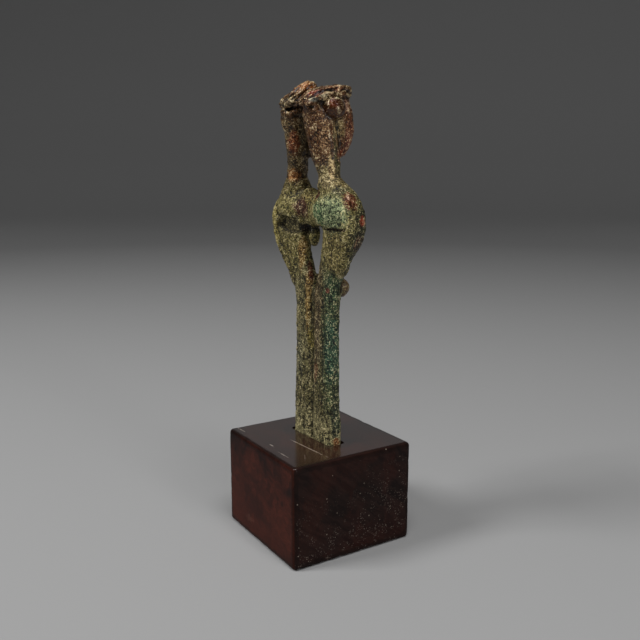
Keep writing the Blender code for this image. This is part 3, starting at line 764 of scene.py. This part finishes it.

# %% [markdown]
# ## The patina, patch by patch
# Buried bronze is a map of minerals: malachite green, olive earth, brown oxide and rubbed metal.
# Each patch is a place and reach on the idol, a dark and a light tone, and how metallic and how
# rough it is there. They are laid over each other in order, each with its own wandering edge.
# Some patches also paint light and shade: highlights on the near neck, the copper, the crest and
# the near cap, a reflection on a cap facet, a lift in the far hollow, and shadows under the caps,
# in the crease, deep in the hollow and on the near side.

# %% Patina table
BASE_TONES = ((24, 22, 15), (118, 114, 70), 0.09, 0.55, 1.0)
PATINA = (  # centre, reach, wander, dark tone, light tone, metal, roughness, speckle
    ("hips", (0, 0, 84), (40, 40, 14), 0.5, (36, 34, 20), (172, 166, 103), 0.06, 0.55, 1.0),
    ("far_thigh", (-2, 12, 68), (9, 9, 11), 0.5, (32, 30, 18), (156, 148, 87), 0.06, 0.55, 1.0),
    ("far_leg", (-2, 7, 38), (8, 7.5, 28), 0.5, (27, 25, 17), (146, 142, 96), 0.09, 0.5, 1.0),
    ("leg_band", (-3, -3.6, 50), (4, 4.2, 22), 0.5, (28, 21, 12), (124, 108, 72), 0.12, 0.46, 1.0),
    ("shaft_rust", (-3, -2.6, 26.5), (2.2, 1.8, 4.5), 0.8, (46, 27, 15), (148, 106, 70), 0.12, 0.48, 1.0),
    ("shaft_gold", (-3, 0.6, 38), (2.2, 1.7, 4.5), 0.8, (46, 42, 18), (182, 170, 88), 0.05, 0.5, 1.0),
    ("shaft_grey", (-3, 8.4, 30), (2.6, 2.6, 9), 0.8, (34, 33, 26), (140, 142, 112), 0.05, 0.55, 1.0),
    ("ochre_strip", (-2.3, 2.6, 58), (2, 1.4, 17), 0.6, (50, 35, 18), (200, 168, 96), 0.12, 0.5, 1.0),
    ("rust_strip", (-0.6, 3.2, 63), (1.1, 1.4, 7), 0.5, (40, 16, 8), (126, 66, 34), 0.15, 0.5, 0.9),
    ("ochre_thigh", (-2.4, 6.4, 70), (2.4, 1.5, 7), 0.7, (48, 36, 19), (184, 151, 84), 0.12, 0.5, 1.0),
    ("near_leg", (-1, -11, 38), (8, 4.6, 30), 0.7, (17, 23, 18), (89, 112, 74), 0.06, 0.5, 1.0),
    ("teal_core", (-1.8, -11, 36), (4, 2.6, 12), 0.9, (8, 26, 24), (68, 118, 96), 0.06, 0.5, 1.0),
    ("teal_knee", (-2, -12.4, 59), (4, 3.4, 8), 0.9, (13, 27, 21), (83, 118, 84), 0.06, 0.5, 1.0),
    ("knee_red", (-2.6, -10.2, 57.6), (1.6, 1, 1.1), 0.4, (50, 22, 14), (142, 80, 66), 0.1, 0.5, 0.9),
    ("thigh_pale", (-0.3, -19.2, 69), (2.2, 2.2, 4), 0.6, (60, 60, 34), (206, 206, 140), 0.04, 0.5, 1.0),
    ("foot", (0, 0, 3), (20, 20, 9), 0.8, (34, 33, 25), (206, 202, 156), 0.03, 0.6, 1.0),
    ("foot_corner", (-0.2, -12.8, 9), (2.2, 2, 9), 0.6, (18, 26, 23), (84, 99, 73), 0.06, 0.5, 1.0),
    ("foot_rust", (-0.4, -12.9, 1), (1.7, 1.5, 1.6), 0.2, (60, 36, 18), (162, 102, 48), 0.12, 0.5, 1.0),
    ("near_thigh", (-4, -15, 72), (6, 8, 9), 0.6, (34, 30, 20), (169, 159, 98), 0.06, 0.55, 1.0),
    # Dark patina of the near side, darkened further as painted shade on the side turned from the key light.
    ("near_side", (8, -22, 76), (10.5, 10, 16), 0.5, (10, 12, 8), (66, 70, 44), 0.12, 0.5, 1.0),
    ("side_rust", (2.2, -21.6, 74.6), (1.8, 1.8, 3), 0.6, (40, 17, 10), (124, 62, 38), 0.2, 0.45, 1.0),
    ("shoulder", (-2.6, -17.4, 92.8), (4.4, 2.6, 1.8), 0.7, (15, 19, 12), (104, 110, 72), 0.06, 0.55, 1.0),
    # Black patina and painted shade low on the near side.
    ("side_black_and_shade", (3.2, -21, 74), (2.2, 3, 4), 0.8, (11, 9, 6), (67, 49, 30), 0.12, 0.5, 1.0),
    ("malachite", (-5.6, -15.4, 85), (6, 8, 6.2), 0.6, (28, 42, 32), (184, 208, 164), 0.0, 0.65, 1.0),
    ("verdigris", (-6.2, -10, 85), (3.4, 2.8, 4.4), 0.8, (14, 36, 22), (116, 158, 112), 0.0, 0.65, 1.0),
    ("hip_seam", (-4.5, -1, 90), (3, 3, 3), 0.8, (35, 30, 18), (174, 161, 89), 0.06, 0.55, 1.0),
    ("red_oxide", (-5.6, 2.4, 86.6), (3, 3.6, 4), 0.7, (34, 14, 7), (100, 56, 36), 0.15, 0.5, 0.9),
    ("seam_rust", (-5.6, -8.2, 91.4), (1.8, 1.2, 2.6), 0.3, (38, 12, 8), (124, 62, 46), 0.2, 0.45, 1.0),
    # Olive patina, its tones lifted as painted fill light for the shaded hollow.
    ("hollow", (-2.5, 12.4, 79.8), (5, 8.4, 3.9), 0.5, (38, 36, 25), (146, 140, 100), 0.06, 0.6, 1.0),
    ("smear", (-4.6, 6.6, 82.6), (2.6, 1.4, 1.6), 0.6, (52, 52, 42), (190, 186, 150), 0.03, 0.6, 1.0),
    # Painted black shade in the deepest corner of the far hollow.
    ("hollow_painted_shade", (-0.5, 4.6, 78.7), (4, 5.6, 2.2), 0.6, (5, 4, 2), (36, 31, 19), 0.06, 0.7, 0.5),
    ("far_rim", (-5, 20.6, 79), (2.4, 1.6, 13), 0.5, (61, 56, 34), (205, 195, 119), 0.06, 0.5, 1.0),
    # Painted shade along the crease under the near buttock.
    ("fold_painted_shade", (-4, -16.6, 79.6), (2.4, 7, 0.6), 0.5, (16, 11, 6), (88, 68, 42), 0.12, 0.6, 1.0),
    ("copper", (-0.7, -20.8, 89.6), (2.7, 2.5, 4.8), 0.8, (44, 19, 13), (146, 88, 62), 0.5, 0.3, 0.6),
    # A painted highlight streak over the copper patch.
    ("painted_glint", (-1.2, -20.2, 90.6), (0.6, 0.9, 2.2), 0.5, (150, 104, 86), (236, 206, 188), 0.3, 0.25, 0.6),
    ("copper_spot", (3.6, -22.2, 82.6), (1.5, 1.5, 1.9), 0.4, (84, 30, 20), (178, 78, 54), 0.4, 0.35, 0.6),
    ("necks", (0, 0, 121), (60, 60, 25.5), 0.22, (32, 17, 9), (124, 82, 48), 0.38, 0.32, 0.9),
    ("far_neck", (-5, 7, 110), (7, 6, 15), 0.4, (25, 19, 10), (128, 104, 62), 0.26, 0.38, 1.0),
    ("far_neck_red", (-7.4, 4.6, 109), (2.5, 2.6, 4.4), 0.7, (58, 26, 12), (172, 96, 50), 0.35, 0.36, 1.0),
    ("far_neck_root", (-5.5, 7.5, 98), (3, 3, 2), 0.7, (60, 32, 14), (206, 138, 64), 0.22, 0.45, 1.0),
    ("near_neck_root", (-4, -12, 97), (7, 6, 4.5), 0.6, (34, 28, 16), (160, 146, 100), 0.1, 0.5, 1.0),
    # The next two patches paint the near neck's highlight strips over its pale mineral specks.
    ("neck_specks_and_highlight", (-3.2, -13, 100.6), (1.3, 1.6, 4.8), 0.6, (58, 42, 28), (244, 218, 168), 0.3, 0.28, 1.0),
    ("neck_upper_specks_and_highlight", (-5, -12, 111.5), (1.7, 1.8, 6.4), 0.8, (44, 25, 15), (186, 146, 108), 0.35, 0.3, 1.0),
    ("neck_strip", (-0.6, -13.2, 107), (1.6, 1.6, 11), 0.5, (26, 23, 12), (104, 98, 60), 0.15, 0.42, 0.7),
    ("jaw_pale", (1.2, -12, 114), (2.2, 2.4, 5), 0.7, (44, 38, 24), (208, 184, 130), 0.2, 0.38, 1.0),
    ("jaw_rust", (2.6, -11.2, 105.4), (2.2, 2.4, 1.8), 0.5, (66, 26, 12), (176, 92, 52), 0.35, 0.34, 0.8),
    ("jaw_red", (6.2, -9.4, 111), (3.2, 4, 9), 0.45, (44, 17, 11), (150, 84, 58), 0.32, 0.34, 0.9),
    ("near_cap", (-1.5, -7.5, 126), (10, 5, 3.4), 0.4, (20, 10, 5), (108, 67, 38), 0.3, 0.34, 0.38),
    ("cap_red", (-7, -8.8, 125.4), (3.6, 2.4, 1.3), 0.5, (38, 10, 5), (158, 64, 36), 0.34, 0.32, 0.4),
    ("cap_rose", (0.6, -9.6, 127.4), (3.6, 2.4, 1), 0.5, (40, 18, 10), (176, 120, 92), 0.3, 0.32, 0.5),
    ("cap_brow", (6.5, -8, 126.6), (3.2, 4, 2.8), 0.4, (26, 18, 11), (102, 76, 46), 0.26, 0.4, 0.45),
    ("far_crest", (-3.6, 4.5, 127.6), (7.5, 5, 5.4), 0.4, (32, 15, 6), (124, 78, 33), 0.27, 0.36, 0.45),
    # Orange patina with a painted highlight on the crest's top.
    ("crest_gold_and_highlight", (-2.6, 3.6, 129), (3.6, 3.4, 2.2), 0.5, (52, 23, 7), (172, 100, 28), 0.3, 0.32, 0.35),
    ("crest_olive", (-8.4, 4.2, 124), (2.6, 3.6, 2.4), 0.5, (28, 20, 10), (108, 80, 42), 0.2, 0.4, 0.5),
    ("far_cap_back", (-10.2, 6, 122.4), (2.6, 4, 2.6), 0.5, (24, 18, 11), (110, 86, 54), 0.2, 0.45, 0.7),
    # The next two patches paint a pale reflection and a highlight on the near cap's facets.
    ("cap_painted_reflection", (-8.3, -10, 123.1), (1.8, 1.6, 0.8), 0.3, (50, 48, 43), (152, 152, 144), 0.06, 0.4, 0.8),
    ("cap_painted_highlight", (-4.7, -11, 124.4), (1.7, 1.6, 0.8), 0.4, (64, 56, 44), (200, 190, 164), 0.25, 0.26, 0.8),
    ("cap_end", (-1.9, -11.2, 125.7), (2.2, 1.6, 0.8), 0.4, (56, 44, 32), (206, 180, 146), 0.25, 0.26, 0.8),
    # The next three patches paint shadow: under the near cap by the eye, under its left lip and under the
    # far cap.
    ("recess", (-5.5, -10.3, 122.6), (1.3, 1.6, 0.9), 0.3, (8, 6, 5), (48, 40, 26), 0.12, 0.6, 0.8),
    ("cap_shadow_left", (-8.6, -8.4, 120.8), (1.2, 1.4, 0.5), 0.3, (16, 12, 8), (84, 72, 46), 0.12, 0.6, 1.0),
    ("far_cap_shadow", (-7.9, 5.2, 120.7), (1.6, 1.8, 0.8), 0.4, (8, 7, 4), (50, 42, 26), 0.12, 0.6, 1.0),
    ("eye_ball", (-0.6, -12.2, 120.8), (4.8, 3.9, 4.5), 0.0, (28, 12, 6), (82, 46, 24), 0.34, 0.2, 0.2),
    ("eye_rust", (-2.8, -13.6, 122), (1.6, 1.6, 1.5), 0.4, (50, 18, 7), (118, 58, 28), 0.34, 0.2, 0.2),
    ("temple_pink", (5, -11, 121.6), (0.9, 1.6, 2.8), 0.4, (66, 42, 34), (182, 142, 126), 0.2, 0.32, 0.8),
    ("far_eye_ball", (-0.6, 12.2, 120.8), (4.8, 3.9, 4.5), 0.0, (28, 12, 6), (82, 46, 24), 0.34, 0.2, 0.2),
    ("near_knob", (5.2, -7.7, 57.8), (3.6, 4.2, 4.2), 0.0, (58, 41, 31), (136, 101, 71), 0.18, 0.5, 0.35),
    ("far_knob", (5.2, 7.7, 57.8), (3.6, 4.2, 4.2), 0.0, (48, 37, 28), (133, 109, 75), 0.18, 0.5, 0.35),
)
print("patches:", ", ".join(row[0] for row in PATINA))

# %% [markdown]
# ## Laying the patches
# Every patch goes over the ones before it, and gives each spot a dark tone, a light tone and a third
# colour whose channels stand for metal, roughness and speckle. One noise lets a patch's edge wander,
# and the mineral grains fray it, so that no patch ends in a clean line.

# %% Lay the patches
bronze, tree, bronze_shader, place, relief = start_material("aged_bronze", block_high.z / MM, IDOL_TURN)
wander = off_middle(tree, cloud(tree, place, 0.45, 4.0, 0.6))
grain_noise = cloud(tree, place, 1.7, 1.6, 0.55)
frayed = math_node(tree, "MULTIPLY_ADD", grain_noise, 1.2, -0.6)
dark_tone = plain_colour(*BASE_TONES[0])
light_tone = plain_colour(*BASE_TONES[1])
surface = (*BASE_TONES[2:], 1.0)
for _, centre, reach, ragged_edge, dark, light, metal, roughness, speckle in PATINA:
    here = use(tree, patch, Place=place, Centre=centre, Reach=reach,
               Wander=math_node(tree, "MULTIPLY_ADD", wander, 2 * ragged_edge, frayed))["Mask"]
    dark_tone = mix(tree, here, dark_tone, plain_colour(*dark))
    light_tone = mix(tree, here, light_tone, plain_colour(*light))
    surface = mix(tree, here, surface, (metal, roughness, speckle, 1.0))
metal, roughness, speckle = add(tree, "ShaderNodeSeparateColor", {0: surface}).outputs
print("patches laid:", len(PATINA))

# %% [markdown]
# ## The speckle
# The skin is speckled all over: pale mineral grains about half a millimetre wide on a dark ground.
# A picture of grains would repeat, so noises of several sizes are added up to a height. Where it is
# high the light tone shows, and where it is low the dark one. Drips draw it out down the legs, and
# on the caps it is combed along the strands.

# %% Streaks on legs and caps
_, side_here, height_here = add(tree, "ShaderNodeSeparateXYZ", {0: place}).outputs
on_legs = fit(tree, height_here, 72.0, 58.0)
on_caps = fit(tree, height_here, 121.0, 123.5)
drips = use(tree, streaks, Place=place, Stretch=(0.8, 0.8, 0.13), Wobble=3.0)
NEAR_STRAND_RISE = 16
FAR_STRAND_RISE = 42


def combed(rise):
    """Streaks drawn along strands that climb towards the brow, at an angle in degrees."""
    turned = add(tree, "ShaderNodeMapping", {"Vector": place, "Rotation": (0.0, math.radians(rise), 0.0)})
    return use(tree, streaks, Place=turned.outputs[0], Stretch=(0.16, 1.0, 1.0), Wobble=2.0)["Streak"]


on_far_cap = fit(tree, side_here, -1.5, 0.5)
strand = mix(tree, on_far_cap, combed(NEAR_STRAND_RISE), combed(FAR_STRAND_RISE))
print("strands climb", NEAR_STRAND_RISE, "and", FAR_STRAND_RISE, "degrees")

# %% Height of the speckle
tint_noise = cloud(tree, place, 0.8, 4.0, 0.7)
grain = math_node(tree, "MULTIPLY_ADD", cloud(tree, place, 3.1, 1.0), 0.5,
                  math_node(tree, "MULTIPLY_ADD", grain_noise, 0.8, -0.65))
strength = times(tree, speckle, fit(tree, tint_noise, 0.35, 0.62, 0.55, 1.15))
raised = math_node(tree, "MULTIPLY_ADD", grain, strength, 0.5)


def lift(value, weight):
    """Raises or lowers the speckle by a value of 0 to 1, weighed about its middle."""
    return math_node(tree, "MULTIPLY_ADD", off_middle(tree, value), weight, raised)


raised = lift(cloud(tree, place, 0.62, 2.0, 0.55), 0.42)
relief_weight = math_node(tree, "MULTIPLY_ADD", on_caps, 0.06, 0.03)
raised = math_node(tree, "MULTIPLY_ADD", relief, relief_weight, raised)
raised = lift(strand, times(tree, on_caps, 0.16))
raised = lift(drips["Fine"], times(tree, on_legs, 0.12))
raised = lift(cloud(tree, place, 0.25, 3.0, 0.6), 0.3)
print("speckle nodes:", len(tree.nodes))

# %% [markdown]
# ## The tones of the metal
# Two loose tints, rust and green, wander over everything. The highest grains are nearly white
# mineral, the lowest spots hold earth, and dark runs follow the drips down the legs. Old wax over it
# all takes a little blue away.

# %% Tones of the bronze
RUST_TINT = ((34, 16, 8), (142, 92, 50))
GREEN_TINT = ((18, 30, 20), (122, 138, 100))
MINERAL_TONE = (250, 242, 208)
EARTH_TONE = (16, 13, 7)
RUN_TONE = (20, 18, 11)
WAX_TONE = (240, 231, 213)


def ramp(start, stop):
    """A straight ramp over the speckle's height."""
    return add(tree, "ShaderNodeMapRange",
               {"Value": raised, "From Min": start, "From Max": stop}).outputs["Result"]


pale = ramp(0.38, 0.64)
tone = mix(tree, pale, dark_tone, light_tone)
rusty = times(tree, fit(tree, tint_noise, 0.54, 0.68), 0.4)
green = times(tree, fit(tree, tint_noise, 0.45, 0.32), 0.35)
for share, (dark, light) in ((rusty, RUST_TINT), (green, GREEN_TINT)):
    tone = mix(tree, share, tone, mix(tree, pale, plain_colour(*dark), plain_colour(*light)))
mineral = mix(tree, 0.65, light_tone, plain_colour(*MINERAL_TONE))
tone = mix(tree, times(tree, ramp(0.57, 0.71), 0.95), tone, mineral)
worn = use(tree, wear, Place=place, Relief=relief, Start=0.2, Scale=1.2)
tone = stain(tree, tone, math_node(tree, "MAXIMUM", ramp(0.41, 0.29), worn["Low"]), 0.5, EARTH_TONE)
dark_runs = times(tree, fit(tree, drips["Streak"], 0.45, 0.05), on_legs)
tone = stain(tree, tone, dark_runs, 0.4, RUN_TONE)
tone = mix(tree, 1.0, tone, plain_colour(*WAX_TONE), "MULTIPLY")
tree.links.new(tone, bronze_shader.inputs["Base Color"])
print("bronze tones mixed")

# %% [markdown]
# ## The shine of the metal
# Crusted places are dull and grainy, and handled ones are smooth metal under a thin film of wax.
# The speckle's strength tells them apart: where it is low, the coat grows and the crust's bumps
# shrink. The bump only carries grain too fine for the mesh, since all larger relief is carved.

# %% Shine of the bronze
CRUST_DEPTH = 0.45 * MM
CRUST_MIDDLE = 0.675

rubbed = math_node(tree, "MULTIPLY_ADD", worn["High"], 0.5, 0.6)
tree.links.new(math_node(tree, "MULTIPLY", metal, rubbed, clamp=True), bronze_shader.inputs["Metallic"])
fine_noise = cloud(tree, place, 3.0, 2.0, 0.6)
patchy = times(tree, off_middle(tree, fine_noise), speckle)
tree.links.new(math_node(tree, "MULTIPLY_ADD", patchy, 0.35, roughness), bronze_shader.inputs["Roughness"])
waxed = math_node(tree, "MAXIMUM", fit(tree, speckle, 0.7, 0.2, 0.0, 0.35),
                  fit(tree, height_here, 94.0, 102.0, 0.0, 0.15))
tree.links.new(waxed, bronze_shader.inputs["Coat Weight"])
bronze_shader.inputs["Coat Roughness"].default_value = 0.14
bronze_shader.inputs["Specular IOR Level"].default_value = 0.32
crust = off_middle(tree, math_node(tree, "MULTIPLY_ADD", fine_noise, 0.35, grain_noise), CRUST_MIDDLE)
crust = times(tree, crust, fit(tree, speckle, 0.25, 0.8, 0.2, 0.9))
bumps = add(tree, "ShaderNodeBump", {"Height": crust, "Strength": 1.0, "Distance": CRUST_DEPTH})
tree.links.new(bumps.outputs[0], bronze_shader.inputs["Normal"])
idol_mesh.materials.clear()
idol_mesh.materials.append(bronze)
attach(idol, "root")
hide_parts("bronze_idol")
print("bronze nodes:", len(tree.nodes))

# %% [markdown]
# ## The block
# The real base is a squared offcut of dark hardwood under thick lacquer, with edges eased by hand
# and a slot for the foot. A cube is bevelled in many segments, cut into a fine grid so its faces can
# waver a little, and the slot is cut out with a second shape.

# %% Shape the block
BLOCK_EDGE = 1.5 * MM
BLOCK_GRID = 26
SLOT_HALF_WIDTH = 3.6
SLOT_HALF_LENGTH = 13.4
SLOT_CORNER = 1.8
BLOCK_RELIEF = 0.12 * MM
SLOT_DEPTH = 5.4

block_size = block_high - block_low
block_bm = bmesh.new()
bmesh.ops.create_cube(block_bm, size=1.0)
bmesh.ops.scale(block_bm, vec=block_size, verts=block_bm.verts)
bmesh.ops.translate(block_bm, vec=(block_high + block_low) / 2, verts=block_bm.verts)
bmesh.ops.bevel(block_bm, geom=block_bm.edges[:], offset=BLOCK_EDGE, offset_type="OFFSET", segments=5,
                profile=0.5, affect="EDGES", material=-1)
for axis in range(3):
    for step in range(1, BLOCK_GRID):
        middle = block_low.lerp(block_high, step / BLOCK_GRID)
        facing = [0.0, 0.0, 0.0]
        facing[axis] = 1.0
        bmesh.ops.bisect_plane(block_bm, geom=block_bm.verts[:] + block_bm.edges[:] + block_bm.faces[:],
                               dist=1e-7, plane_co=middle, plane_no=facing)
print("block grid:", len(block_bm.faces), "faces")

# %% Dent the block's edges
EDGE_REACH = 2.2
BRUISE_DEPTH = 0.5
WAVER_DEPTH = 0.05
LOW_EDGE = 3.0

for vert in block_bm.verts:
    spot = vert.co / MM
    from_faces = sorted(min(spot[axis] - block_low[axis] / MM, block_high[axis] / MM - spot[axis])
                        for axis in range(3))
    at_edge = max(0.0, 1.0 - from_faces[1] / EDGE_REACH)
    inward = ((block_low + block_high) / 2 - vert.co).normalized()
    bruise = max(0.0, noise.noise(spot * 0.3 + Vector((7, 3, 1))) - 0.1) * at_edge
    if spot.z < LOW_EDGE:
        bruise += max(0.0, noise.noise(spot * 0.55) - 0.1) * at_edge
    waver = 0.5 + 0.5 * noise.noise(spot * 0.06)
    vert.co += inward * MM * (BRUISE_DEPTH * bruise + WAVER_DEPTH * waver)
block_bm.normal_update()
block = piece_from(block_bm, "wood_block_body")
print("edges dented by up to", BRUISE_DEPTH, "mm")

# %% Cut the slot
slot_bm = bmesh.new()
bmesh.ops.create_cube(slot_bm, size=2.0)
bmesh.ops.scale(slot_bm, vec=(SLOT_HALF_WIDTH, SLOT_HALF_LENGTH, SLOT_DEPTH), verts=slot_bm.verts)
standing = [edge for edge in slot_bm.edges if abs(edge.verts[0].co.z - edge.verts[1].co.z) > SLOT_DEPTH]
bmesh.ops.bevel(slot_bm, geom=standing, offset=SLOT_CORNER, offset_type="OFFSET", segments=4,
                profile=0.5, affect="EDGES", material=-1)
bmesh.ops.transform(slot_bm, matrix=IDOL_FRAME, verts=slot_bm.verts)
slot_cutter = piece_from(slot_bm, "slot_cutter")
slot_cut = block.modifiers.new("slot", "BOOLEAN")
slot_cut.operation = "DIFFERENCE"
slot_cut.solver = "EXACT"
slot_cut.object = slot_cutter
block_mesh = settle(block)
block_mesh.name = "wood_block_body"
bpy.data.objects.remove(slot_cutter)
block_mesh.shade_smooth()
block_mesh.set_sharp_from_angle(angle=math.radians(42))
block_relief = store_relief(block_mesh, 6, BLOCK_RELIEF)
print("block:", len(block_mesh.polygons), "faces, relief spread:", round(float(block_relief.std()), 2))

# %% [markdown]
# ## The timber
# Under the lacquer the timber is red-brown and nearly black where the grain is dense. Bands of growth
# run along the sides that face left, and the end grain shows slanting ones. Both are the same
# streaks, drawn out and turned by different amounts.

# %% Timber and grain
GROWTH_TONES = ((30, 15, 12), (82, 37, 25))
GRAIN_TONE = (24, 13, 11)
RED_TONE = (86, 36, 23)
END_TONES = ((19, 13, 12), (36, 25, 22))
TOP_TONE = (38, 18, 10)
WORN_TONE = (16, 9, 7)
END_SLANT = math.radians(-38)

lacquer, tree, wood_shader, place, relief = start_material("dark_lacquered_wood")
normal = add(tree, "ShaderNodeNewGeometry").outputs["Normal"]
_, side_facing, up_facing = add(tree, "ShaderNodeSeparateXYZ", {0: normal}).outputs
front_here, side_here, height_here = add(tree, "ShaderNodeSeparateXYZ", {0: place}).outputs
grain = use(tree, streaks, Place=place, Stretch=(0.35, 0.05, 0.16), Wobble=9.0)
growth = use(tree, streaks, Place=place, Stretch=(0.09, 0.02, 0.05), Wobble=14.0)
end_grain = fit(tree, math_node(tree, "ABSOLUTE", side_facing), 0.5, 0.8)
on_top = fit(tree, up_facing, 0.6, 0.9)
timber = mix(tree, growth["Streak"], *(plain_colour(*colour) for colour in GROWTH_TONES))
timber = stain(tree, timber, grain["Fine"], 0.35, GRAIN_TONE)
low_red = fit(tree, math_node(tree, "MULTIPLY_ADD", side_here, -0.35, height_here), 30.0, -2.0)
timber = stain(tree, timber, low_red, 0.4, RED_TONE)
slanted = add(tree, "ShaderNodeMapping", {"Vector": place, "Rotation": (0.0, END_SLANT, 0.0)})
slant = use(tree, streaks, Place=slanted.outputs[0], Stretch=(0.05, 0.3, 0.5), Wobble=4.0)
end_tone = mix(tree, slant["Streak"], *(plain_colour(*colour) for colour in END_TONES))
timber = mix(tree, times(tree, end_grain, 0.8), timber, end_tone)
timber = stain(tree, timber, on_top, 0.75, TOP_TONE)
worn = use(tree, wear, Place=place, Relief=relief, Start=0.35, Scale=0.8)
timber = stain(tree, timber, worn["High"], 0.5, WORN_TONE)
print("timber nodes:", len(tree.nodes))

# %% [markdown]
# ## Dust and marks
# The end grain is full of pores that hold pale dust, most of it low on the right. A few scratches
# show on the top. Each mark is the patch group again, made long and thin and turned to its course,
# which is why the group takes a reach on every axis.

# %% Dust in the pores
PORE_DUST = (126, 112, 102)
LOOSE_DUST = (150, 136, 122)

pores = use(tree, specks, Place=place, Per_Millimetre=1.6, Share=0.7, Size=0.34)
dust = use(tree, specks, Place=place, Per_Millimetre=0.5, Share=0.25, Size=0.14)
scattered = fit(tree, cloud(tree, place, 0.3, 3.0), 0.42, 0.62)
lower_right = fit(tree, math_node(tree, "MULTIPLY_ADD", front_here, 0.35, times(tree, height_here, -1.0)),
                  -36.0, -6.0)
where_dusty = times(tree, lower_right, times(tree, pores["Shade"], scattered))
timber = stain(tree, timber, times(tree, pores["Mask"], end_grain), where_dusty, PORE_DUST)
timber = stain(tree, timber, times(tree, dust["Mask"], end_grain), 0.75, LOOSE_DUST)
print("dust laid")

# %% Scratches and marks
WOOD_MARKS = (  # centre, half length, half width, turn in degrees, tone, strength
    ((-22.0, 20.7, 38.0), 2.3, 0.28, -4, (150, 138, 128), 0.6),
    ((-20.4, -1.0, 38.0), 1.5, 0.25, 0, (160, 148, 138), 0.7),
    ((-21.5, -11.0, 38.0), 3.0, 0.24, -2, (150, 138, 128), 0.6),
    ((-10.4, -10.2, 38.0), 7.6, 0.24, -5, (160, 146, 132), 0.75),
    ((-16.5, -18.0, 38.0), 2.2, 0.2, 30, (110, 96, 86), 0.5),
    ((-25.4, 8.0, 7.0), 2.4, 0.35, 0, (98, 62, 50), 0.4),
    ((-25.4, 19.8, 31.2), 0.9, 0.7, 0, (14, 9, 8), 0.8),
)
MARK_HEIGHT = 1.2

broken = off_middle(tree, grain["Fine"], 0.6)
for centre, half_length, half_width, degrees, mark_tone, strength in WOOD_MARKS:
    turn = math.radians(degrees)
    along = add(tree, "ShaderNodeMapping", {"Vector": place, "Rotation": (0.0, 0.0, turn)}).outputs[0]
    mark = use(tree, patch, Place=along, Centre=Matrix.Rotation(turn, 3, "Z") @ Vector(centre),
               Reach=(half_width, half_length, MARK_HEIGHT), Wander=broken)["Mask"]
    timber = stain(tree, timber, mark, strength, mark_tone)
tree.links.new(timber, wood_shader.inputs["Base Color"])
print("marks:", len(WOOD_MARKS))

# %% [markdown]
# ## The lacquer
# The top is polished enough to mirror the figure, and the sides keep only a trace of gloss. A clear
# coat over a rougher base gives that depth, and a very low bump makes its surface ripple.

# %% Lacquer
RIPPLE_DEPTH = 0.05 * MM

wood_shader.inputs["Roughness"].default_value = 0.5
wood_shader.inputs["Specular IOR Level"].default_value = 0.06
wood_shader.inputs["Coat IOR"].default_value = 1.7
wood_shader.inputs["Coat Roughness"].default_value = 0.16
tree.links.new(fit(tree, on_top, 0.0, 1.0, 0.04, 1.0), wood_shader.inputs["Coat Weight"])
ripple_height = math_node(tree, "MULTIPLY_ADD", grain["Fine"], 0.3, cloud(tree, place, 0.5, 3.0))
ripples = add(tree, "ShaderNodeBump",
              {"Height": ripple_height, "Strength": 0.25, "Distance": RIPPLE_DEPTH})
tree.links.new(ripples.outputs[0], wood_shader.inputs["Normal"])
block_mesh.materials.clear()
block_mesh.materials.append(lacquer)
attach(block, "root")
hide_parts("wood_block")
print("wood nodes:", len(tree.nodes))
